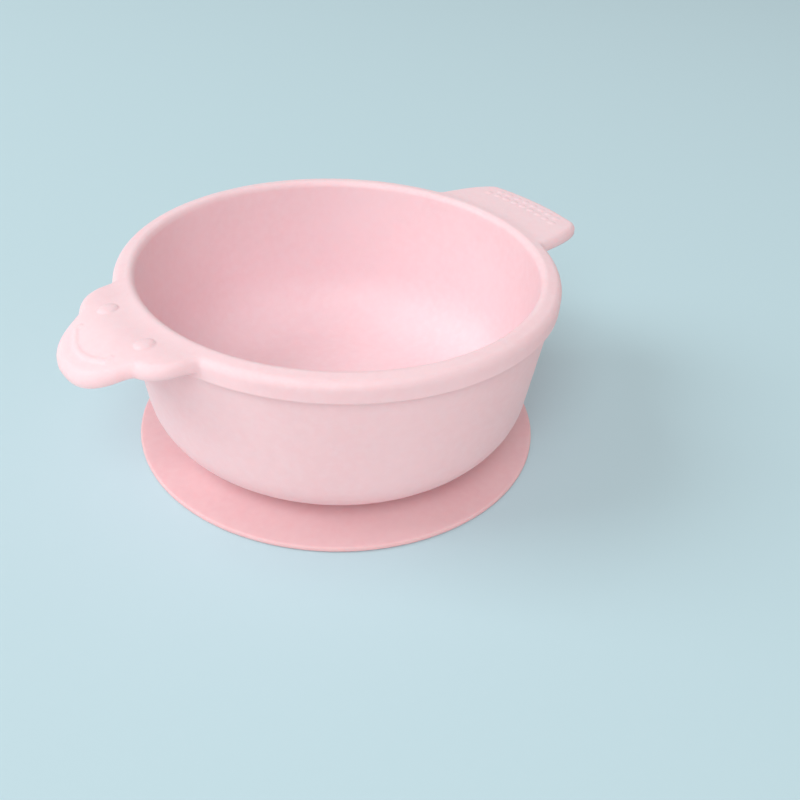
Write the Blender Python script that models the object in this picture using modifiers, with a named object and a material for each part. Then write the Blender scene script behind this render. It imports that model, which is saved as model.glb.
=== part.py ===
"""Child's suction bowl: a soft silicone bowl, with a head and a tail for handles, on a suction base.

Metres, +Z up. The origin lies on the table under the middle of the bowl, the head points along -X
and the tail along +X. The suction base stands on the table. The bowl sits in the base's pocket and
moves up and down with the middle of the base when it is pressed on or pulled off.
"""
import math

import bmesh
import bpy
from mathutils import Matrix, Vector

OBJECT_NAME = "suction_bowl"
CUTTERS_NAME = "suction_bowl_tools"

# Rim of the bowl
RIM_RADIUS = 0.0625
RIM_TOP = 0.0552
RIM_WIDTH = 0.0061
RIM_BAND_HEIGHT = 0.0063
RIM_INNER_EDGE = 0.0020
RIM_OUTER_EDGE = 0.0024
RIM_SLOPE = math.radians(10.0)
RIM_LOWER_EDGE = 0.0005
RIM_LEDGE = 0.0008

# Wall and floor of the bowl
OUTER_DRAFT = math.radians(8.5)
OUTER_CORNER = 0.0188
INNER_DRAFT = math.radians(6.0)
INNER_CORNER = 0.0170
FLOOR_THICKNESS = 0.0040

# Plug under the bowl that seats in the base
PLUG_RADIUS = 0.0240
PLUG_DEPTH = 0.0014
SEAT_CLEARANCE = 0.0003

# Suction base
BASE_RADIUS = 0.0608
SEAT_HEIGHT = 0.0037
SEAT_MARGIN = 0.0006
LIP_THICKNESS = 0.0013
LIP_EDGE = 0.0005
SEAL_WIDTH = 0.0060
DISH_DEPTH = 0.0012
SKIRT_HOLLOW = 0.0004

# Handles, with lengths counted from the rim
HANDLE_THICKNESS = 0.0046
HANDLE_EDGE = 0.0017
HANDLE_STEP = 0.0012
HEAD_DROOP = math.radians(16.0)
HEAD_LENGTH = 0.0191
HEAD_WIDTH = 0.0510
CHEEK_LENGTH = 0.0025
CHEEK_WIDTH = 0.0464
MUZZLE_LENGTH = 0.0095
MUZZLE_WIDTH = 0.0272
TAIL_DROOP = math.radians(1.0)
TAIL_LENGTH = 0.0183
TAIL_WIDTH = 0.0430
TAIL_CORNER = 0.0050

# Raised face on the head: the eyes are placed from the rim, the smile from the tip
EYE_LINE = 0.0033
EYE_SPACING = 0.0214
EYE_LENGTH = 0.0050
EYE_WIDTH = 0.0040
SMILE_INSET = 0.0046
SMILE_WIDTH = 0.0145
SMILE_DEPTH = 0.0032
SMILE_LINE = 0.0012
RELIEF_HEIGHT = 0.0006

# Fineness of the facets
TURN_STEPS = 72
ARC_STEP = math.radians(15.0)
OUTLINE_STEPS = 4
EDGE_STEPS = 3
BEND_CUTS = 5
DISH_STEPS = 4
ROOT_STEPS = 4
MUZZLE_STEPS = 3
CORNER_STEPS = 2
EYE_SEGMENTS = 16
EYE_RINGS = 8
SMILE_STEPS = 10
SMILE_ROUND_STEPS = 2
WELD_DISTANCE = 0.00001

# Finish
SILICONE_PINK = (0.91, 0.60, 0.63, 1.0)
SILICONE_ROUGHNESS = 0.48

# Heights and radii that follow from the sizes above
RIM_INNER_RADIUS = RIM_RADIUS - RIM_WIDTH
BAND_BOTTOM = RIM_TOP - RIM_BAND_HEIGHT
BOWL_BOTTOM = SEAT_HEIGHT + SEAT_CLEARANCE
BOWL_FLOOR = BOWL_BOTTOM + FLOOR_THICKNESS
BURIED_RADIUS = RIM_RADIUS - RIM_WIDTH / 2.0
HANDLE_TOP = RIM_TOP - HANDLE_STEP
HEAD_REACH = RIM_RADIUS + HEAD_LENGTH
CHEEK_REACH = RIM_RADIUS + CHEEK_LENGTH
TAIL_REACH = RIM_RADIUS + TAIL_LENGTH
EYE_REACH = RIM_RADIUS + EYE_LINE
SMILE_REACH = HEAD_REACH - SMILE_INSET


def clear_scene():
    for old in list(bpy.data.objects):
        bpy.data.objects.remove(old, do_unlink=True)


def new_collection(name):
    collection = bpy.data.collections.new(name)
    bpy.context.scene.collection.children.link(collection)
    return collection


def silicone(name):
    material = bpy.data.materials.new(name)
    material.use_nodes = True
    shader = material.node_tree.nodes["Principled BSDF"]
    shader.inputs["Base Color"].default_value = SILICONE_PINK
    shader.inputs["Roughness"].default_value = SILICONE_ROUGHNESS
    shader.inputs["Metallic"].default_value = 0.0
    return material


def arc(centre, radius, start, end):
    """Points of an arc in a profile's (radius, height) plane, its two ends included."""
    steps = max(1, math.ceil(abs(end - start) / ARC_STEP))
    angles = [start + (end - start) * i / steps for i in range(steps + 1)]
    return [(centre[0] + radius * math.cos(a), centre[1] + radius * math.sin(a)) for a in angles]


def corner_centre(wall_radius, wall_height, draft, floor_height, corner_radius):
    """Centre of the arc that joins a level floor to a wall leaning outwards by its draft."""
    height = floor_height + corner_radius
    touch_height = height - corner_radius * math.sin(draft)
    touch_radius = wall_radius - (wall_height - touch_height) * math.tan(draft)
    return touch_radius - corner_radius * math.cos(draft), height


def outer_corner_centre():
    return corner_centre(RIM_RADIUS - RIM_LEDGE, BAND_BOTTOM, OUTER_DRAFT, BOWL_BOTTOM, OUTER_CORNER)


def bowl_profile():
    """Half section of the bowl: up the inside, over the rim, down the outside and under to the axis."""
    down = -math.pi / 2.0
    inner_edge = (RIM_INNER_RADIUS + RIM_INNER_EDGE, RIM_TOP - RIM_INNER_EDGE)
    inner_corner = corner_centre(RIM_INNER_RADIUS, inner_edge[1], INNER_DRAFT, BOWL_FLOOR, INNER_CORNER)
    slope_up = math.pi / 2.0 - RIM_SLOPE
    outer_edge_radius = RIM_RADIUS - RIM_OUTER_EDGE
    edge_change = RIM_INNER_EDGE - RIM_OUTER_EDGE
    run = outer_edge_radius - inner_edge[0] - edge_change * math.cos(slope_up)
    outer_edge_height = inner_edge[1] + edge_change * math.sin(slope_up) - run * math.tan(RIM_SLOPE)
    lower_edge = (RIM_RADIUS - RIM_LOWER_EDGE, BAND_BOTTOM + RIM_LOWER_EDGE)
    points = [(0.0, BOWL_FLOOR)]
    points += arc(inner_corner, INNER_CORNER, down, -INNER_DRAFT)
    points += arc(inner_edge, RIM_INNER_EDGE, math.pi, slope_up)
    points += arc((outer_edge_radius, outer_edge_height), RIM_OUTER_EDGE, slope_up, 0.0)
    points += arc(lower_edge, RIM_LOWER_EDGE, 0.0, down)
    points += [(RIM_RADIUS - RIM_LEDGE, BAND_BOTTOM)]
    points += arc(outer_corner_centre(), OUTER_CORNER, -OUTER_DRAFT, down)
    points += [(PLUG_RADIUS, BOWL_BOTTOM)]
    points += [(PLUG_RADIUS, BOWL_BOTTOM - PLUG_DEPTH)]
    points += [(0.0, BOWL_BOTTOM - PLUG_DEPTH)]
    return points


def base_profile():
    """Half section of the suction base: pocket, seat, skirt, sealing lip and the shallow dish below."""
    down = -math.pi / 2.0
    pocket_radius = PLUG_RADIUS + SEAT_CLEARANCE
    pocket_floor = SEAT_HEIGHT - PLUG_DEPTH
    seat_radius = outer_corner_centre()[0] + SEAT_MARGIN
    lip_radius = BASE_RADIUS - LIP_EDGE
    skirt_middle = (seat_radius + lip_radius) / 2.0
    skirt_height = (SEAT_HEIGHT + LIP_THICKNESS) / 2.0 - SKIRT_HOLLOW
    seal_radius = BASE_RADIUS - SEAL_WIDTH
    dish_radius = (seal_radius ** 2 + DISH_DEPTH ** 2) / (2.0 * DISH_DEPTH)
    dish_centre = (0.0, DISH_DEPTH - dish_radius)
    dish_half_angle = math.asin(seal_radius / dish_radius)
    dish_shares = [1.0 - i / DISH_STEPS for i in range(DISH_STEPS)]
    points = [(0.0, pocket_floor), (pocket_radius, pocket_floor), (pocket_radius, SEAT_HEIGHT)]
    points += [(seat_radius, SEAT_HEIGHT), (skirt_middle, skirt_height)]
    points += arc((lip_radius, LIP_THICKNESS - LIP_EDGE), LIP_EDGE, math.pi / 2.0, 0.0)
    points += arc((lip_radius, LIP_EDGE), LIP_EDGE, 0.0, down)
    for share in dish_shares:
        angle = math.pi / 2.0 - dish_half_angle * share
        points += [(dish_radius * math.cos(angle), dish_centre[1] + dish_radius * math.sin(angle))]
    points += [(0.0, DISH_DEPTH)]
    return points


def link(obj, collection):
    collection.objects.link(obj)
    return obj


def turned(name, profile, collection):
    """A solid of revolution about Z, from a half section that starts and ends on the axis."""
    mesh = bpy.data.meshes.new(name)
    shape = bmesh.new()
    verts = [shape.verts.new((radius, 0.0, height)) for radius, height in profile]
    for first, second in zip(verts, verts[1:]):
        shape.edges.new((first, second))
    shape.to_mesh(mesh)
    shape.free()
    obj = link(bpy.data.objects.new(name, mesh), collection)
    screw = obj.modifiers.new("turn", "SCREW")
    screw.axis = "Z"
    screw.steps = TURN_STEPS
    screw.render_steps = TURN_STEPS
    screw.use_merge_vertices = True
    screw.merge_threshold = WELD_DISTANCE
    return obj


def as_mesh(source):
    """Turns a curve object into a welded mesh object of the same name and place."""
    bpy.context.view_layer.update()
    evaluated = source.evaluated_get(bpy.context.evaluated_depsgraph_get())
    mesh = bpy.data.meshes.new_from_object(evaluated)
    shape = bmesh.new()
    shape.from_mesh(mesh)
    bmesh.ops.remove_doubles(shape, verts=shape.verts, dist=WELD_DISTANCE)
    bmesh.ops.recalc_face_normals(shape, faces=shape.faces)
    shape.to_mesh(mesh)
    shape.free()
    mesh.shade_smooth()
    name = source.name
    place = source.matrix_world.copy()
    collection = source.users_collection[0]
    bpy.data.objects.remove(source, do_unlink=True)
    obj = link(bpy.data.objects.new(name, mesh), collection)
    obj.matrix_world = place
    return obj


def plate(name, outer_points, root_angle, collection):
    """A handle plate: a smooth outline that ends inside the rim, with rounded edges.

    The outline lies in its own plane, along +X, and its top face is at height zero.
    """
    curve = bpy.data.curves.new(name, "CURVE")
    curve.dimensions = "2D"
    curve.fill_mode = "BOTH"
    curve.resolution_u = OUTLINE_STEPS
    curve.extrude = HANDLE_THICKNESS / 2.0
    angles = [root_angle - 2.0 * root_angle * i / ROOT_STEPS for i in range(ROOT_STEPS + 1)]
    root = [(BURIED_RADIUS * math.cos(a), BURIED_RADIUS * math.sin(a)) for a in angles]
    spline = curve.splines.new("BEZIER")
    points = outer_points + root
    spline.bezier_points.add(len(points) - 1)
    for knot, (along, across) in zip(spline.bezier_points, points):
        knot.co = (along, across, 0.0)
        knot.handle_left_type = "AUTO"
        knot.handle_right_type = "AUTO"
    for corner in (len(outer_points), len(points) - 1):
        spline.bezier_points[corner].handle_left_type = "VECTOR"
        spline.bezier_points[corner].handle_right_type = "VECTOR"
    spline.use_cyclic_u = True
    obj = link(bpy.data.objects.new(name, curve), collection)
    obj.location.z = -HANDLE_THICKNESS / 2.0
    return rounded(as_mesh(obj))


def level_faces(shape):
    """The faces of a plate's top and bottom: all their corners are at one height."""
    found = []
    for face in shape.faces:
        heights = [vert.co.z for vert in face.verts]
        if max(heights) - min(heights) < WELD_DISTANCE:
            found += [face]
    return found


def rounded(obj):
    """Makes the top and the bottom of a plate one face each, and rounds the edges round them."""
    shape = bmesh.new()
    shape.from_mesh(obj.data)
    bmesh.ops.dissolve_faces(shape, faces=level_faces(shape))
    edges = {edge for face in level_faces(shape) for edge in face.edges}
    bmesh.ops.bevel(shape, geom=list(edges), offset=HANDLE_EDGE, segments=EDGE_STEPS, profile=0.5,
                    affect="EDGES", material=-1)
    shape.to_mesh(obj.data)
    shape.free()
    obj.data.shade_smooth()
    return obj


def head_outline():
    """Half of the head from its root to the tip, mirrored: cheek, waist and a round muzzle."""
    muzzle_start = HEAD_REACH - MUZZLE_LENGTH
    root = math.sqrt(BURIED_RADIUS ** 2 - (HEAD_WIDTH / 2.0) ** 2)
    half = [((root + CHEEK_REACH) / 2.0, HEAD_WIDTH / 2.0), (CHEEK_REACH, CHEEK_WIDTH / 2.0)]
    half += [((CHEEK_REACH + muzzle_start) / 2.0, (CHEEK_WIDTH + MUZZLE_WIDTH) / 4.0)]
    for i in range(MUZZLE_STEPS):
        turn = math.pi / 2.0 * (1.0 - i / MUZZLE_STEPS)
        along = muzzle_start + MUZZLE_LENGTH * math.cos(turn)
        half += [(along, MUZZLE_WIDTH / 2.0 * math.sin(turn))]
    return [(u, -v) for u, v in half] + [(HEAD_REACH, 0.0)] + half[::-1]


def tail_outline():
    """Half of the tail from its root to the tip, mirrored: straight sides, round corners, a broad edge."""
    side = TAIL_WIDTH / 2.0
    edge_angle = math.asin((side - TAIL_CORNER) / (TAIL_REACH - TAIL_CORNER))
    corner = ((TAIL_REACH - TAIL_CORNER) * math.cos(edge_angle), side - TAIL_CORNER)
    half = [((RIM_RADIUS + corner[0]) / 2.0, side)]
    for i in range(CORNER_STEPS + 1):
        turn = math.pi / 2.0 + (edge_angle - math.pi / 2.0) * i / CORNER_STEPS
        half += [(corner[0] + TAIL_CORNER * math.cos(turn), corner[1] + TAIL_CORNER * math.sin(turn))]
    half += [(TAIL_REACH * math.cos(edge_angle / 2.0), TAIL_REACH * math.sin(edge_angle / 2.0))]
    return [(u, -v) for u, v in half] + [(TAIL_REACH, 0.0)] + half[::-1]


def eye(name, side, collection):
    """A low oval dome, half sunk in the head."""
    mesh = bpy.data.meshes.new(name)
    shape = bmesh.new()
    bmesh.ops.create_uvsphere(shape, u_segments=EYE_SEGMENTS, v_segments=EYE_RINGS, radius=1.0)
    size = Vector((EYE_WIDTH / 2.0, EYE_LENGTH / 2.0, RELIEF_HEIGHT))
    bmesh.ops.scale(shape, vec=size, verts=shape.verts)
    bmesh.ops.translate(shape, vec=(EYE_REACH, side * EYE_SPACING / 2.0, 0.0), verts=shape.verts)
    shape.to_mesh(mesh)
    shape.free()
    mesh.shade_smooth()
    return link(bpy.data.objects.new(name, mesh), collection)


def smile(name, collection):
    """A raised line that bends away from the eyes, half sunk in the head."""
    curve = bpy.data.curves.new(name, "CURVE")
    curve.dimensions = "3D"
    curve.bevel_depth = SMILE_LINE / 2.0
    curve.bevel_resolution = SMILE_ROUND_STEPS
    curve.use_fill_caps = True
    spline = curve.splines.new("POLY")
    shares = [2.0 * i / SMILE_STEPS - 1.0 for i in range(SMILE_STEPS + 1)]
    spline.points.add(len(shares) - 1)
    for point, share in zip(spline.points, shares):
        along = SMILE_REACH - SMILE_DEPTH * share * share
        point.co = (along, SMILE_WIDTH / 2.0 * share, 0.0, 1.0)
    return as_mesh(link(bpy.data.objects.new(name, curve), collection))


def set_handle(obj, droop, turn):
    """Cuts a flat shape across, bends it down past the rim like a cone and sets it on the bowl."""
    shape = bmesh.new()
    shape.from_mesh(obj.data)
    shape.transform(obj.matrix_world)
    reach = max(vert.co.x for vert in shape.verts)
    for i in range(BEND_CUTS):
        along = RIM_RADIUS + (reach - RIM_RADIUS) * i / BEND_CUTS
        geometry = shape.verts[:] + shape.edges[:] + shape.faces[:]
        bmesh.ops.bisect_plane(shape, geom=geometry, dist=WELD_DISTANCE,
                               plane_co=(along, 0.0, 0.0), plane_no=(1.0, 0.0, 0.0))
    bmesh.ops.triangulate(shape, faces=shape.faces)
    for vert in shape.verts:
        past_rim = max(0.0, math.hypot(vert.co.x, vert.co.y) - RIM_RADIUS)
        vert.co.z += HANDLE_TOP - past_rim * math.tan(droop)
    shape.transform(Matrix.Rotation(turn, 4, "Z"))
    shape.to_mesh(obj.data)
    shape.free()
    obj.matrix_world = Matrix.Identity(4)


def join(target, tool):
    """Unites a tool with the target and hides the tool."""
    union = target.modifiers.new(tool.name, "BOOLEAN")
    union.operation = "UNION"
    union.solver = "EXACT"
    union.object = tool
    tool.hide_render = True
    tool.display_type = "WIRE"


def build_bowl(parts, tools):
    bowl = turned("bowl", bowl_profile(), parts)
    head_angle = math.asin(HEAD_WIDTH / 2.0 / BURIED_RADIUS)
    tail_angle = math.asin(TAIL_WIDTH / 2.0 / BURIED_RADIUS)
    head = [plate("head_plate", head_outline(), head_angle, tools)]
    head += [eye("left_eye", -1.0, tools), eye("right_eye", 1.0, tools), smile("smile_line", tools)]
    tail = plate("tail_plate", tail_outline(), tail_angle, tools)
    for tool in head:
        set_handle(tool, HEAD_DROOP, math.pi)
        join(bowl, tool)
    set_handle(tail, TAIL_DROOP, 0.0)
    join(bowl, tail)
    bowl.data.materials.append(silicone("moulded_silicone_bowl"))
    return bowl


def build_base(parts):
    base = turned("suction_base", base_profile(), parts)
    base.data.materials.append(silicone("moulded_silicone_base"))
    return base


def main():
    clear_scene()
    parts = new_collection(OBJECT_NAME)
    tools = new_collection(CUTTERS_NAME)
    carrier = link(bpy.data.objects.new("base_on_table", None), parts)
    press = link(bpy.data.objects.new("press_travel", None), parts)
    press.parent = carrier
    press.location.z = SEAT_HEIGHT
    bowl = build_bowl(parts, tools)
    bowl.parent = press
    bowl.matrix_parent_inverse = Matrix.Translation((0.0, 0.0, -SEAT_HEIGHT))
    base = build_base(parts)
    base.parent = carrier


main()
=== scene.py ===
# %% [markdown]
# # A child's suction bowl in moulded silicone
# The real object is a soft feeding bowl with an animal's head and tail for handles. It is bonded to
# a thin, wide disc that grips the table when the bowl is pressed down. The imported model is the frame
# of this lesson: it has the true sizes and the moving joint. The lesson makes the surfaces that show.

import math

import bmesh
import bpy
from mathutils import Matrix, Quaternion, Vector


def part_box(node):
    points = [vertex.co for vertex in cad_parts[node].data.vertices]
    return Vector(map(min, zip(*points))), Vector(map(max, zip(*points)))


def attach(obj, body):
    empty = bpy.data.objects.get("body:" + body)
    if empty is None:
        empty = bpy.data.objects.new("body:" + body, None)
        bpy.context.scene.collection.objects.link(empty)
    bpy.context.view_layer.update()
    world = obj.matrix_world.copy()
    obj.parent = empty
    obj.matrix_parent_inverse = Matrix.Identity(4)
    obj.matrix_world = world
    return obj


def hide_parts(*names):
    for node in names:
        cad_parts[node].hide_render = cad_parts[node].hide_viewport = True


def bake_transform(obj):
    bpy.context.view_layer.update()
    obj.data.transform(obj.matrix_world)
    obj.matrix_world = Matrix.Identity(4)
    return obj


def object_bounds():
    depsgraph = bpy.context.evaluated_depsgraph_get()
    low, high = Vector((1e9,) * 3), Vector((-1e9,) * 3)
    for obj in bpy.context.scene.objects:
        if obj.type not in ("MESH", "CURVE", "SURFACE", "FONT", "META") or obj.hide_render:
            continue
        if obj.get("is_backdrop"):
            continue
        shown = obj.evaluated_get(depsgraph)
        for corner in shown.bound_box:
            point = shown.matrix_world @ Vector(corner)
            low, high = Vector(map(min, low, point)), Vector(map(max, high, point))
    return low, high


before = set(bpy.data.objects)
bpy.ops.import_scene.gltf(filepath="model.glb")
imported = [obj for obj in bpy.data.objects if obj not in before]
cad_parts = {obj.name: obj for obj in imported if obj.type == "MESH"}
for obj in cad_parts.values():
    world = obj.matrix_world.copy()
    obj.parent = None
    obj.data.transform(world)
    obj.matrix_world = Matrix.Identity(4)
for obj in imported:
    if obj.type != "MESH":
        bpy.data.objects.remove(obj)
cad_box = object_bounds()
MM = 0.001

# %% [markdown]
# ## Sizes from the frame
# A piece that stands for a solid has to lie where the solid lies. So the driving sizes are read from
# the two solids' boxes, and everything below is worked out from them.

# %% Read the driving sizes
bowl_low, bowl_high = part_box("bowl")
base_low, base_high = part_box("suction_base")
RIM_RADIUS = bowl_high.y
RIM_TOP = bowl_high.z
HEAD_TIP = -bowl_low.x
TAIL_TIP = bowl_high.x
PLUG_BOTTOM = bowl_low.z
BASE_RADIUS = base_high.x
SEAT_HEIGHT = base_high.z
print("rim radius, rim top, head tip, tail tip, base radius in mm:",
      [round(size / MM, 1) for size in (RIM_RADIUS, RIM_TOP, HEAD_TIP, TAIL_TIP, BASE_RADIUS)])
print("the disc stands at and its seat is at, in mm:", [round(z / MM, 1) for z in (base_low.z, SEAT_HEIGHT)])

# %% [markdown]
# ## The bowl's section
# The bowl is turned, like a pot on a wheel, so half of its section is enough. It runs from the axis
# along the inside floor, up the inner wall, over the rim, down the outside and back to the axis.
# Round stretches are arcs. The rim's slope and part of its outer band get many points, because the
# top and the underside of the handles are drawn out of those two stretches later.

# %% Sizes of the section
RIM_WIDTH = 6.1 * MM
RIM_BAND = 6.3 * MM             # height of the rim's outer side
INNER_EDGE = 2.0 * MM           # radii of the rim's round edges
OUTER_EDGE = 2.4 * MM
LOWER_EDGE = 0.5 * MM
LEDGE = 1.5 * MM                # how far the rim stands out from the wall
RIM_SLOPE = math.radians(10.0)
INNER_DRAFT = math.radians(6.0)
INNER_CORNER = 19.0 * MM
OUTER_DRAFT = math.radians(7.6)
OUTER_CORNER = 17.0 * MM
FLOOR_THICKNESS = 4.0 * MM
SEAT_GAP = 0.3 * MM
PLUG_RADIUS = 24.0 * MM
BOWL_BOTTOM = SEAT_HEIGHT + SEAT_GAP
BOWL_FLOOR = BOWL_BOTTOM + FLOOR_THICKNESS
BAND_BOTTOM = RIM_TOP - RIM_BAND
LIP_TOP = BAND_BOTTOM + 0.8 * MM        # below this the band stays as it is
SIDE_BOTTOM = BAND_BOTTOM + 2.6 * MM    # from here down to the lip it becomes the handles' underside
print("depth inside the bowl in mm:", round((RIM_TOP - BOWL_FLOOR) / MM, 1))


# %% Lines of a section
def arc(centre, radius, start, end, steps):
    """Points of an arc in the section's plane, both ends included."""
    angles = [start + (end - start) * i / steps for i in range(steps + 1)]
    return [(centre[0] + radius * math.cos(a), centre[1] + radius * math.sin(a)) for a in angles]


def straight(start, end, steps):
    """Points of a straight stretch between two others, its ends left out."""
    shares = [i / steps for i in range(1, steps)]
    return [(start[0] + (end[0] - start[0]) * s, start[1] + (end[1] - start[1]) * s) for s in shares]


def joined(stretches, steps):
    """One line through several stretches, with the straight gaps between them divided into steps."""
    line = list(stretches[0])
    for stretch, count in zip(stretches[1:], steps):
        line += straight(line[-1], stretch[0], count) + list(stretch)
    return line


def corner_centre(wall_radius, wall_height, draft, floor_height, corner):
    """Centre of the arc between a level floor and a wall that leans out by its draft."""
    height = floor_height + corner
    touch = wall_radius - (wall_height - height + corner * math.sin(draft)) * math.tan(draft)
    return touch - corner * math.cos(draft), height


DOWN = -math.pi / 2.0
UP_SLOPE = math.pi / 2.0 - RIM_SLOPE
inner_edge = (RIM_RADIUS - RIM_WIDTH + INNER_EDGE, RIM_TOP - INNER_EDGE)
edge_run = RIM_RADIUS - OUTER_EDGE - inner_edge[0] + (OUTER_EDGE - INNER_EDGE) * math.cos(UP_SLOPE)
edge_drop = (OUTER_EDGE - INNER_EDGE) * math.sin(UP_SLOPE)
outer_edge = (RIM_RADIUS - OUTER_EDGE, inner_edge[1] - edge_drop - edge_run * math.tan(RIM_SLOPE))
inner_corner = corner_centre(RIM_RADIUS - RIM_WIDTH, inner_edge[1], INNER_DRAFT, BOWL_FLOOR, INNER_CORNER)
outer_corner = corner_centre(RIM_RADIUS - LEDGE, BAND_BOTTOM, OUTER_DRAFT, BOWL_BOTTOM, OUTER_CORNER)
print("flat floor inside and outside, radii in mm:", [round(c[0] / MM, 1) for c in (inner_corner, outer_corner)])

# %% Join the bowl's section
INNER_EDGE_STEPS = 7
OUTER_EDGE_STEPS = 8
LOWER_EDGE_STEPS = 4
CORNER_STEPS = 10
TOP_STEPS = 58
UNDER_STEPS = 18
# Steps in the straight gaps: inner floor, inner wall, rim's slope, upper and lower side, lip, ledge,
# outer wall, bottom, plug's side and plug's bottom.
BOWL_GAPS = [5, 4, TOP_STEPS, 2, UNDER_STEPS, 1, 1, 5, 3, 1, 4]
rim_inside = arc(inner_edge, INNER_EDGE, math.pi, UP_SLOPE, INNER_EDGE_STEPS)
rim_outside = arc(outer_edge, OUTER_EDGE, UP_SLOPE, 0.0, OUTER_EDGE_STEPS)
lower_edge = (RIM_RADIUS - LOWER_EDGE, BAND_BOTTOM + LOWER_EDGE)
bowl_section = joined(
    [[(0.0, BOWL_FLOOR)],
     arc(inner_corner, INNER_CORNER, DOWN, -INNER_DRAFT, CORNER_STEPS),
     rim_inside,
     rim_outside,
     [(RIM_RADIUS, SIDE_BOTTOM)],
     [(RIM_RADIUS, LIP_TOP)],
     arc(lower_edge, LOWER_EDGE, 0.0, DOWN, LOWER_EDGE_STEPS),
     [(RIM_RADIUS - LEDGE, BAND_BOTTOM)],
     arc(outer_corner, OUTER_CORNER, -OUTER_DRAFT, DOWN, CORNER_STEPS),
     [(PLUG_RADIUS, BOWL_BOTTOM)],
     [(PLUG_RADIUS, PLUG_BOTTOM)],
     [(0.0, PLUG_BOTTOM)]],
    BOWL_GAPS)
print("points in the bowl's section:", len(bowl_section))

# %% [markdown]
# ## Turning the section
# A spin sweeps the section round the axis. It slows down as its mesh grows, so only a quarter turn
# is spun, and two mirrors make the half and then the whole. The points on the axis and on the seams
# fall on each other and are merged, and then the normals are made to point outwards.

# %% Spin a section into a solid
WELD = 0.001 * MM
BOWL_COLUMNS = 640


def spun(section, columns):
    """A closed solid of revolution from a half section that starts and ends on the axis."""
    shape = bmesh.new()
    points = [shape.verts.new((radius, 0.0, height)) for radius, height in section]
    lines = [shape.edges.new(pair) for pair in zip(points, points[1:])]
    bmesh.ops.spin(shape, geom=points + lines, cent=(0.0, 0.0, 0.0), axis=(0.0, 0.0, 1.0),
                   angle=math.pi / 2.0, steps=columns // 4)
    for axis in "XY":
        bmesh.ops.mirror(shape, geom=shape.verts[:] + shape.edges[:] + shape.faces[:],
                         matrix=Matrix(), merge_dist=WELD, axis=axis)
    bmesh.ops.remove_doubles(shape, verts=shape.verts, dist=WELD)
    bmesh.ops.recalc_face_normals(shape, faces=shape.faces)
    return shape


bowl_shape = spun(bowl_section, BOWL_COLUMNS)
print("bowl before its handles:", len(bowl_shape.verts), "points")

# %% [markdown]
# ## Outlines of the handles
# Seen from above, each handle is a smooth line at some distance from the bowl's middle, so one
# distance for each angle describes it. The head is a broad, flat-topped bump for the cheeks with a
# narrower, rounder one on it for the muzzle. The tail is a broad band with a round outer edge.
# Lengths that cross are joined by a smooth maximum or minimum, which leaves a fillet where the real
# moulding has one.

# %% The head's outline
ROOT_FILLET = 1.6 * MM
CHEEK_REACH = 10.2 * MM
CHEEK_SPAN = math.radians(21.9)
CHEEK_FLATNESS = 6
MUZZLE_REACH = HEAD_TIP - RIM_RADIUS - CHEEK_REACH
MUZZLE_SPAN = math.radians(11.9)
MUZZLE_FULLNESS = 2.8
MUZZLE_FILLET = 2.6 * MM


def smooth_max(first, second, width):
    """The larger of two lengths, with the corner where they cross filled over a width."""
    overlap = max(width - abs(first - second), 0.0)
    return max(first, second) + overlap * overlap / (4.0 * width)


def head_reach(angle):
    """How far the head reaches from the bowl's axis, at an angle from the head's own axis."""
    cheeks = CHEEK_REACH * (1.0 - (angle / CHEEK_SPAN) ** CHEEK_FLATNESS)
    muzzle = MUZZLE_REACH * (1.0 - abs(angle / MUZZLE_SPAN) ** MUZZLE_FULLNESS)
    head = RIM_RADIUS + cheeks + smooth_max(muzzle, 0.0, MUZZLE_FILLET)
    return smooth_max(head, RIM_RADIUS, ROOT_FILLET)


print("head at 0, 10, 20 degrees in mm:", [round(head_reach(math.radians(a)) / MM, 1) for a in (0, 10, 20)])

# %% The tail's outline
TAIL_HALF_WIDTH = 23.4 * MM     # at the rim
TAIL_TAPER = 0.12
TAIL_ROUNDING = 13.5 * MM


def tail_reach(angle):
    """How far the tail reaches from the bowl's axis, at an angle from the tail's own axis."""
    lean = abs(math.sin(angle)) + TAIL_TAPER * math.cos(angle)
    sides = (TAIL_HALF_WIDTH + TAIL_TAPER * RIM_RADIUS) / lean
    fan = -smooth_max(-sides, -TAIL_TIP, TAIL_ROUNDING)
    return smooth_max(fan, RIM_RADIUS, ROOT_FILLET)


print("tail at 0, 10, 18 degrees in mm:", [round(tail_reach(math.radians(a)) / MM, 1) for a in (0, 10, 18)])

# %% [markdown]
# ## Drawing the handles out of the rim
# The handles could be cut plates joined to the bowl, but then a seam would show on top. On the real
# moulding the rim flows into them without a break. So the points of the rim's slope and of its band
# are spread outwards like rubber, each by its share, and the rim's round edge rides along outside.
# The band's lowest part stays behind as the lip, which runs on below the handles. Where an outline
# runs steeply, the round edges are widened, so that they stay as round when cut across.
#
# The rim slopes outwards, but the tops of the handles are nearly level. So the top bends up where a
# handle starts, and the head bends down again further out, because it droops towards its tip.

# %% Bend the tops
LEVELLED = 0.85                 # share of the rim's slope that is taken off the handles' tops
HEAD_DROOP = math.radians(23.0)
# Each bend has the radii where it starts and ends, and what it adds to the slope of the top.
LEVELLING = (RIM_RADIUS - 3.6 * MM, RIM_RADIUS + 1.6 * MM, -LEVELLED * math.tan(RIM_SLOPE))
DROOPING = (RIM_RADIUS + 2.0 * MM, RIM_RADIUS + 13.0 * MM, math.tan(HEAD_DROOP))
HEAD_BENDS = [LEVELLING, DROOPING]
TAIL_BENDS = [LEVELLING]


def fall(radius, bends):
    """Height lost by the top surface out to a radius: by the rim's slope, and by what each bend adds."""
    height = radius * math.tan(RIM_SLOPE)
    for start, end, added in bends:
        share = min(max((radius - start) / (end - start), 0.0), 1.0)
        height += added * ((end - start) * (share ** 3 - share ** 4 / 2.0) + max(radius - end, 0.0))
    return height


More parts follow.
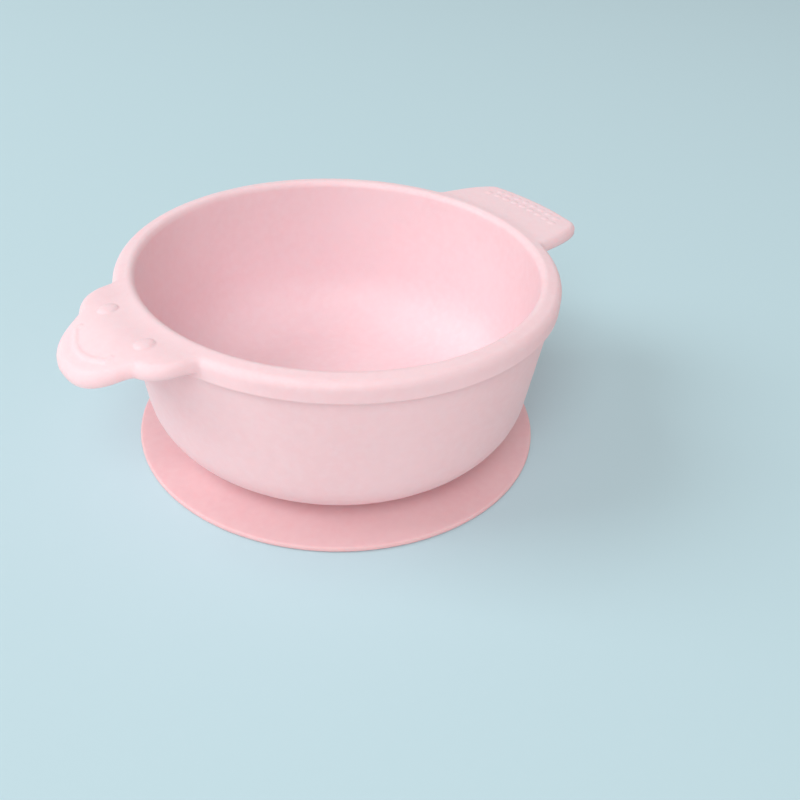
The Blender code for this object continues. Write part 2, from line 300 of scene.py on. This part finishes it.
for handle, tip, bends in (("head", HEAD_TIP, HEAD_BENDS), ("tail", TAIL_TIP, TAIL_BENDS)):
    print(handle, "falls from rim to tip, in mm:", round((fall(tip, bends) - fall(RIM_RADIUS, bends)) / MM, 1))

# %% Where the rim's points go
SIDE_STEP = math.radians(0.1)   # the steepness of an outline is measured over this angle to each side
UNDERSIDE = BAND_BOTTOM + 2.1 * MM
UNDER_EDGE = 1.2 * MM           # radius of the handles' lower edge
UNDER_EDGE_SHARE = 0.3          # share of the underside's points that go into that edge
FULL_HANDLE = 4.0 * MM          # length from which a handle has its full underside
LEAN_GROWTH = 0.4 / MM          # how fast the round edges may widen as a handle gets longer
TOP_START = rim_inside[-1][0]
TOP_END = rim_outside[0][0]


def smooth_step(share):
    """A share from zero to one, eased at both ends."""
    share = min(max(share, 0.0), 1.0)
    return share * share * (3.0 - 2.0 * share)


def handle_at(angle):
    """The handle on this side of the bowl: its outline, the angle from its axis and its top's bends."""
    if math.cos(angle) > 0.0:
        return tail_reach, math.atan2(math.sin(angle), math.cos(angle)), TAIL_BENDS
    return head_reach, math.atan2(-math.sin(angle), -math.cos(angle)), HEAD_BENDS


def drawn_out(radius, height, angle):
    """Where a point of the plain rim goes when the handle at this angle is drawn out of it."""
    if height < LIP_TOP + WELD or radius < TOP_START + WELD:
        return radius, height
    reach, side, bends = handle_at(angle)
    edge = reach(side)
    length = edge - RIM_RADIUS
    steepness = (reach(side + SIDE_STEP) - reach(side - SIDE_STEP)) / (2.0 * SIDE_STEP * edge)
    lean = min(math.hypot(1.0, steepness), 1.0 + length * LEAN_GROWTH)
    if radius < TOP_END:
        share = (radius - TOP_START) / (TOP_END - TOP_START)
        new_radius = TOP_START + (edge - (RIM_RADIUS - TOP_END) * lean - TOP_START) * share
    elif height > SIDE_BOTTOM:
        new_radius = edge - (RIM_RADIUS - radius) * lean
    else:
        share = (height - LIP_TOP) / (SIDE_BOTTOM - LIP_TOP)
        rounding = min(UNDER_EDGE * lean, length / 2.0)
        turn_in = math.pi / 2.0 * min((1.0 - share) / UNDER_EDGE_SHARE, 1.0)
        inward = max((1.0 - UNDER_EDGE_SHARE - share) / (1.0 - UNDER_EDGE_SHARE), 0.0)
        new_radius = edge - rounding * (1.0 - math.cos(turn_in)) - (length - rounding) * inward
        new_height = UNDERSIDE + UNDER_EDGE * (1.0 - math.sin(turn_in))
        height += (new_height - height) * smooth_step(length / FULL_HANDLE)
    return new_radius, height - fall(new_radius, bends) + fall(radius, bends)


print("the rim's edge goes to, in mm at the head:",
      [round(size / MM, 1) for size in drawn_out(*rim_outside[-1], math.pi)])

# %% Move the rim's points
CROWDING = 0.66                 # how strongly the columns of points are gathered at the two handles
for vert in bowl_shape.verts:
    turn = math.atan2(vert.co.y, vert.co.x)
    turn -= CROWDING / 2.0 * math.sin(2.0 * turn)
    radius, height = drawn_out(math.hypot(vert.co.x, vert.co.y), vert.co.z, turn)
    vert.co = (radius * math.cos(turn), radius * math.sin(turn), height)
reach_x = [vert.co.x for vert in bowl_shape.verts]
print("bowl with its handles, in mm along x:", round(min(reach_x) / MM, 2), round(max(reach_x) / MM, 2))

# %% [markdown]
# ## The raised face and the grip dots
# The eyes are low oval buttons and the smile is a thin raised line, both part of the moulding. The
# mesh is fine enough here to lift its points by a height that is worked out from each point's place.
# The tail gets two rows of plain low dots for grip, in the same way.

# %% The face
EYE_ALONG = RIM_RADIUS + 2.4 * MM
EYE_ACROSS = 10.2 * MM
EYE_HALF_LENGTH = 2.6 * MM
EYE_HALF_WIDTH = 2.2 * MM
EYE_HEIGHT = 0.6 * MM
SMILE_ALONG = HEAD_TIP - 4.5 * MM
SMILE_HALF_WIDTH = 8.8 * MM
SMILE_BEND = 3.0 * MM
SMILE_TICK = 1.1 * MM           # length of the short line at each end
SMILE_HALF_LINE = 1.1 * MM
SMILE_HEIGHT = 0.3 * MM


def dome(distance):
    """Height of a round-topped rise, one in its middle and zero from a distance of one."""
    return math.sqrt(max(1.0 - distance * distance, 0.0))


def face_height(along, across):
    """Height of the eyes and the smile above the head, at a place along and across its axis."""
    across = abs(across)
    eye = math.hypot((along - EYE_ALONG) / EYE_HALF_LENGTH, (across - EYE_ACROSS) / EYE_HALF_WIDTH)
    place = min(across / SMILE_HALF_WIDTH, 1.0)
    slope = 2.0 * SMILE_BEND * place / SMILE_HALF_WIDTH
    off_line = (along - SMILE_ALONG + SMILE_BEND * place * place) / math.hypot(1.0, slope)
    past_end = max(across - SMILE_HALF_WIDTH, 0.0)
    tick_end = SMILE_ALONG - SMILE_BEND
    off_tick = max(along - tick_end, tick_end - SMILE_TICK - along, 0.0)
    tick = math.hypot(across - SMILE_HALF_WIDTH, off_tick)
    line = min(math.hypot(off_line, past_end), tick) / SMILE_HALF_LINE
    return max(EYE_HEIGHT * dome(eye), SMILE_HEIGHT * smooth_step(1.0 - line))


print("height of an eye's middle in mm:", round(face_height(EYE_ALONG, EYE_ACROSS) / MM, 2))

# %% The dots
DOT_ROWS = (TAIL_TIP - 4.6 * MM, TAIL_TIP - 8.0 * MM)
DOT_SPACING = 3.6 * MM
DOT_LIMIT = 16.0 * MM
DOT_RADIUS = 1.1 * MM
DOT_HEIGHT = 0.25 * MM


def dot_height(along, across):
    """Height of the grip dots above the tail, in two rows that are half a step apart."""
    radius = math.hypot(along, across)
    row = min(DOT_ROWS, key=lambda place: abs(place - radius))
    step = math.atan2(across, along) * row / DOT_SPACING
    nearest = round(step - 0.5) + 0.5 if row == DOT_ROWS[0] else round(step)
    if abs(nearest * DOT_SPACING) > DOT_LIMIT:
        return 0.0
    return DOT_HEIGHT * dome(math.hypot(radius - row, (step - nearest) * DOT_SPACING) / DOT_RADIUS)


print("height of the inner row's middle dot in mm:", round(dot_height(DOT_ROWS[1], 0.0) / MM, 2))

# %% Raise the face and the dots
FACES_UP = 0.5                  # least upward part of the normal of a point that is on top
raised = 0
for vert in bowl_shape.verts:
    if vert.normal.z < FACES_UP or math.hypot(vert.co.x, vert.co.y) < TOP_END:
        continue
    rise = face_height(-vert.co.x, vert.co.y) if vert.co.x < 0.0 else dot_height(vert.co.x, vert.co.y)
    vert.co.z += rise
    raised += rise > 0.0
print("points raised for the face and the dots:", raised)

# %% [markdown]
# ## The suction disc
# The disc is a second silicone moulding. Its middle is a flat seat with a pocket for the bowl's plug,
# its skirt falls away in a slight hollow to a thin round lip, and its underside is a shallow dish
# inside a flat sealing ring. It is turned in the same way as the bowl.

# %% Turn the disc
LIP_THICKNESS = 1.6 * MM
LIP_EDGE = 0.7 * MM
SEAL_WIDTH = 6.0 * MM
DISH_DEPTH = 1.2 * MM
SKIRT_HOLLOW = 0.5 * MM
SEAT_MARGIN = 0.6 * MM
SKIRT_STEPS = 16
LIP_STEPS = 6
DISH_STEPS = 12
BASE_COLUMNS = 256
BASE_GAPS = [3, 1, 4, 1, 1, 2]  # pocket's floor and side, seat, lip's start, lip's side, sealing ring
seat_radius = outer_corner[0] + SEAT_MARGIN
lip_radius = BASE_RADIUS - LIP_EDGE
seal_radius = BASE_RADIUS - SEAL_WIDTH
pocket_radius = PLUG_RADIUS + SEAT_GAP
pocket_floor = PLUG_BOTTOM - SEAT_GAP


def skirt(share):
    """A point of the skirt, from the seat's edge to the lip."""
    height = SEAT_HEIGHT + (LIP_THICKNESS - SEAT_HEIGHT) * share
    return seat_radius + (lip_radius - seat_radius) * share, height - SKIRT_HOLLOW * math.sin(math.pi * share)


def dish(share):
    """A point of the dish below, from the sealing ring to the middle."""
    return seal_radius * (1.0 - share), DISH_DEPTH * smooth_step(share)


base_section = joined(
    [[(0.0, pocket_floor)],
     [(pocket_radius, pocket_floor)],
     [(pocket_radius, SEAT_HEIGHT)],
     [skirt(i / SKIRT_STEPS) for i in range(SKIRT_STEPS)],
     arc((lip_radius, LIP_THICKNESS - LIP_EDGE), LIP_EDGE, math.pi / 2.0, 0.0, LIP_STEPS),
     arc((lip_radius, LIP_EDGE), LIP_EDGE, 0.0, DOWN, LIP_STEPS),
     [dish(i / DISH_STEPS) for i in range(DISH_STEPS + 1)]],
    BASE_GAPS)
base_shape = spun(base_section, BASE_COLUMNS)
print("suction disc:", len(base_shape.verts), "points")


# %% [markdown]
# ## Colours and nodes
# Colours are written as the eye sees them, in sRGB hex, and shaders work in linear light, so one
# function turns the one into the other. One more adds a node, sets it and links it.

# %% Two helpers for materials
def linear(hex_colour):
    """An sRGB hex colour as linear red, green, blue and alpha."""
    channels = [int(hex_colour[i:i + 2], 16) / 255.0 for i in (1, 3, 5)]
    return [c / 12.92 if c <= 0.04045 else ((c + 0.055) / 1.055) ** 2.4 for c in channels] + [1.0]


def add_node(tree, kind, inputs, **settings):
    """Adds a node. Each input is a value for its socket, or another node's socket to link to it."""
    made = tree.nodes.new(kind)
    for name, value in settings.items():
        setattr(made, name, value)
    for name, value in inputs.items():
        if isinstance(value, bpy.types.NodeSocket):
            tree.links.new(value, made.inputs[name])
        else:
            made.inputs[name].default_value = value
    return made


BOWL_PINKS = ("#F6DDE3", "#F4D8DE")
DISC_PINKS = ("#EBC9CD", "#E8C2C7")
print("the bowl's pale pink in linear light:", [round(c, 3) for c in linear(BOWL_PINKS[0])])

# %% [markdown]
# ## Silicone, moulded in a spark-eroded steel tool
# Platinum-cured silicone is a cloudy rubber. Light goes a few millimetres into it, so its shadows are
# warm and its thin edges glow. The tool's fine grain leaves a satin face without sharp reflections.
# Pigment is never quite even, so the pink drifts a little over a few centimetres.

# %% Make the silicone
# Each pattern has the size of what it draws, and its detail. The tool's grain is near 0.05 mm and is
# drawn coarser, so that it shows.
PATTERNS = {"cloud": (26.0 * MM, 2.0), "fleck": (2.4 * MM, 3.0),
            "grain": (0.35 * MM, 2.0), "wave": (14.0 * MM, 1.0)}
DRIFT_LOW, DRIFT_HIGH = 0.12, 0.40
SATIN_LOW, SATIN_HIGH = 0.44, 0.56
BUMP_STRENGTH = 0.06
WAVE_HEIGHT = 0.3 * MM
GRAIN_HEIGHT = 0.03 * MM
SILICONE_IOR = 1.41
SCATTER_SHARE = 0.4
SCATTER_DEPTH = 2.0 * MM
SCATTER_COLOURS = (1.0, 0.36, 0.32)     # red light goes deepest
COLOUR_A, COLOUR_B, COLOUR_OUT = 6, 7, 2        # the Mix node's colour sockets, by their places


def moulded_silicone(name, pale, deep):
    """Satin silicone whose colour drifts between two pinks."""
    material = bpy.data.materials.new(name)
    material.use_nodes = True
    tree = material.node_tree
    shader = tree.nodes["Principled BSDF"]
    place = add_node(tree, "ShaderNodeTexCoord", {}).outputs["Object"]
    noise = {}
    for pattern, (size, detail) in PATTERNS.items():
        made = add_node(tree, "ShaderNodeTexNoise", {"Vector": place, "Scale": 1.0 / size, "Detail": detail})
        noise[pattern] = made.outputs[0]
    drift = add_node(tree, "ShaderNodeMath", {0: noise["cloud"], 1: noise["fleck"]}, operation="MULTIPLY")
    share = add_node(tree, "ShaderNodeMapRange",
                     {"Value": drift.outputs[0], "From Min": DRIFT_LOW, "From Max": DRIFT_HIGH})
    pink = add_node(tree, "ShaderNodeMix",
                    {0: share.outputs[0], COLOUR_A: linear(pale), COLOUR_B: linear(deep)}, data_type="RGBA")
    satin = add_node(tree, "ShaderNodeMapRange",
                     {"Value": noise["fleck"], "To Min": SATIN_LOW, "To Max": SATIN_HIGH})
    broad = add_node(tree, "ShaderNodeBump",
                     {"Height": noise["wave"], "Strength": BUMP_STRENGTH, "Distance": WAVE_HEIGHT})
    fine = add_node(tree, "ShaderNodeBump",
                    {"Height": noise["grain"], "Strength": BUMP_STRENGTH, "Distance": GRAIN_HEIGHT,
                     "Normal": broad.outputs[0]})
    tree.links.new(pink.outputs[COLOUR_OUT], shader.inputs["Base Color"])
    tree.links.new(satin.outputs[0], shader.inputs["Roughness"])
    tree.links.new(fine.outputs[0], shader.inputs["Normal"])
    shader.inputs["IOR"].default_value = SILICONE_IOR
    shader.inputs["Subsurface Weight"].default_value = SCATTER_SHARE
    shader.inputs["Subsurface Radius"].default_value = SCATTER_COLOURS
    shader.inputs["Subsurface Scale"].default_value = SCATTER_DEPTH
    return material


bowl_silicone = moulded_silicone("moulded_silicone_bowl", *BOWL_PINKS)
base_silicone = moulded_silicone("moulded_silicone_disc", *DISC_PINKS)
print("materials:", bowl_silicone.name, base_silicone.name)

# %% [markdown]
# ## Placing the pieces
# Each mesh stands for one solid. The bowl rides with the bowl's body. The disc is soft: its lip stays
# on the table while its seat goes up and down with the bowl. Here it is set in place at rest.

# %% Make the objects
SMOOTH_LIMIT = math.radians(38.0)


def placed(name, shape, material):
    """Turns a finished shape into an object at the origin, smooth apart from its sharp corners."""
    mesh = bpy.data.meshes.new(name)
    shape.to_mesh(mesh)
    shape.free()
    mesh.shade_smooth()
    mesh.set_sharp_from_angle(angle=SMOOTH_LIMIT)
    mesh.materials.append(material)
    piece = bpy.data.objects.new(name, mesh)
    bpy.context.scene.collection.objects.link(piece)
    return piece


bowl = placed("silicone_bowl", bowl_shape, bowl_silicone)
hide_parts("bowl")
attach(bowl, "bowl")
disc = placed("suction_disc", base_shape, base_silicone)
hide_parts("suction_base")
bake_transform(disc)
print("faces:", bowl.name, len(bowl.data.polygons), disc.name, len(disc.data.polygons))

# %% [markdown]
# ## Floor, world and lamps
# A wide pale floor fills the picture, because the camera looks down on the bowl. Light that bounces
# off a blue floor would spoil the pink, so the floor and the world each have two tints: a nearly
# white one that lights the bowl, and a pale blue one that is seen. An even, slightly warm world keeps
# the shadows open. One large soft lamp stands on the left, and another one hangs high behind the
# camera, where it draws the shadow line below the rim.

# %% Lay the floor
FLOOR_SIZE = 4.0
FLOOR_DROP = 0.1 * MM
FLOOR_PARTS = 8
FLOOR_ROUGHNESS = 0.9
FLOOR_TINTS = ("#E6E2E2", "#C0E1EA")    # the one that lights, and the one that is seen


def seen_and_tint(tree, lighting, shown):
    """Two sockets: one for rays that the eye sees and zero for other light, and the tint for each of them."""
    ray = add_node(tree, "ShaderNodeLightPath", {}).outputs
    mirrored = add_node(tree, "ShaderNodeMath",
                        {0: ray["Is Glossy Ray"], 1: ray["Is Transmission Ray"]}, operation="MAXIMUM")
    seen = add_node(tree, "ShaderNodeMath",
                    {0: ray["Is Camera Ray"], 1: mirrored.outputs[0]}, operation="MAXIMUM")
    tint = add_node(tree, "ShaderNodeMix",
                    {0: seen.outputs[0], COLOUR_A: linear(lighting), COLOUR_B: linear(shown)}, data_type="RGBA")
    return seen.outputs[0], tint.outputs[COLOUR_OUT]


floor_shape = bmesh.new()
bmesh.ops.create_grid(floor_shape, x_segments=FLOOR_PARTS, y_segments=FLOOR_PARTS, size=FLOOR_SIZE)
bmesh.ops.translate(floor_shape, verts=floor_shape.verts, vec=(0.0, 0.0, -FLOOR_DROP))
floor_paper = bpy.data.materials.new("matt_backdrop_paper")
floor_paper.use_nodes = True
paper = floor_paper.node_tree.nodes["Principled BSDF"]
paper_tint = seen_and_tint(floor_paper.node_tree, *FLOOR_TINTS)[1]
floor_paper.node_tree.links.new(paper_tint, paper.inputs["Base Color"])
paper.inputs["Roughness"].default_value = FLOOR_ROUGHNESS
floor = placed("floor", floor_shape, floor_paper)
floor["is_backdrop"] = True
print("floor:", floor.name, "of", len(floor.data.polygons), "faces")

# %% Light the room
ROOM_TINTS = ("#FFECE7", "#C4DCE4")     # the one that lights, and the one that is seen
ROOM_LIGHT = 0.47
ROOM_SHOWN = 1.0
world = bpy.data.worlds.new("soft_room")
world.use_nodes = True
room = world.node_tree.nodes["Background"]
room_seen, room_tint = seen_and_tint(world.node_tree, *ROOM_TINTS)
room_level = add_node(world.node_tree, "ShaderNodeMath",
                      {0: room_seen, 1: ROOM_SHOWN - ROOM_LIGHT, 2: ROOM_LIGHT}, operation="MULTIPLY_ADD")
world.node_tree.links.new(room_tint, room.inputs["Color"])
world.node_tree.links.new(room_level.outputs[0], room.inputs["Strength"])
bpy.context.scene.world = world
print("world:", world.name, "with", len(world.node_tree.nodes), "nodes")

# %% Hang the lamps
LAMP_AIM = Vector((0.0, 0.0, RIM_TOP / 2.0))


def soft_lamp(name, place, size, watts):
    """A square area lamp at a place, turned to the middle of the bowl."""
    lamp = bpy.data.lights.new(name, "AREA")
    lamp.shape = "SQUARE"
    lamp.size = size
    lamp.energy = watts
    holder = bpy.data.objects.new(name, lamp)
    holder.location = place
    holder.rotation_mode = "QUATERNION"
    holder.rotation_quaternion = (LAMP_AIM - holder.location).to_track_quat("-Z", "Y")
    bpy.context.scene.collection.objects.link(holder)
    return holder


lamps = [soft_lamp("key_lamp", place=(-1.65, 1.25, 1.70), size=1.5, watts=29.0),
         soft_lamp("front_lamp", place=(-1.50, -1.35, 2.15), size=1.8, watts=40.0)]
print("lamps:", [lamp.name for lamp in lamps])

# %% [markdown]
# ## The camera
# The camera stands at the photograph's angle: a little above thirty degrees up, with the head handle
# to the left and the tail behind on the right. It is aimed beside the bowl, because the bowl is left
# of the picture's middle, and it is turned a little about its own axis.

# %% Aim the camera
PICTURE_WIDTH = 800
FOCAL_PIXELS = 899.0
SENSOR = 36.0
VIEW_AZIMUTH = math.radians(-36.2)
VIEW_ELEVATION = math.radians(31.2)
VIEW_DISTANCE = 270.0 * MM
VIEW_MIDDLE = Vector((0.0, 0.0, 30.0 * MM))
AIM_RIGHT = 18.3 * MM
AIM_UP = -19.2 * MM
VIEW_ROLL = math.radians(3.6)
backward = Vector((math.sin(VIEW_AZIMUTH) * math.cos(VIEW_ELEVATION),
                   -math.cos(VIEW_AZIMUTH) * math.cos(VIEW_ELEVATION), math.sin(VIEW_ELEVATION)))
rightward = Vector((math.cos(VIEW_AZIMUTH), math.sin(VIEW_AZIMUTH), 0.0))
upward = backward.cross(rightward)
camera_data = bpy.data.cameras.new("camera")
camera_data.sensor_width = SENSOR
camera_data.lens = FOCAL_PIXELS * SENSOR / PICTURE_WIDTH
camera = bpy.data.objects.new("camera", camera_data)
camera.location = VIEW_MIDDLE + backward * VIEW_DISTANCE
sight = VIEW_MIDDLE + rightward * AIM_RIGHT + upward * AIM_UP - camera.location
camera.rotation_mode = "QUATERNION"
camera.rotation_quaternion = sight.to_track_quat("-Z", "Y") @ Quaternion((0.0, 0.0, 1.0), VIEW_ROLL)
bpy.context.scene.collection.objects.link(camera)
bpy.context.scene.camera = camera
bpy.context.scene.view_settings.view_transform = "Standard"
print("lens in mm:", round(camera_data.lens, 1))

# %% [markdown]
# ## Size
# The dressed model has to keep the solid model's size, so both boxes are printed at the end.

# %% Write the boxes and finish
bpy.context.view_layer.update()
boxes = {"cad": [list(corner) for corner in cad_box], "visual": [list(corner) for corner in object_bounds()]}
for name, box in boxes.items():
    print(name, "box in mm:", [[round(x / MM, 2) for x in corner] for corner in box])
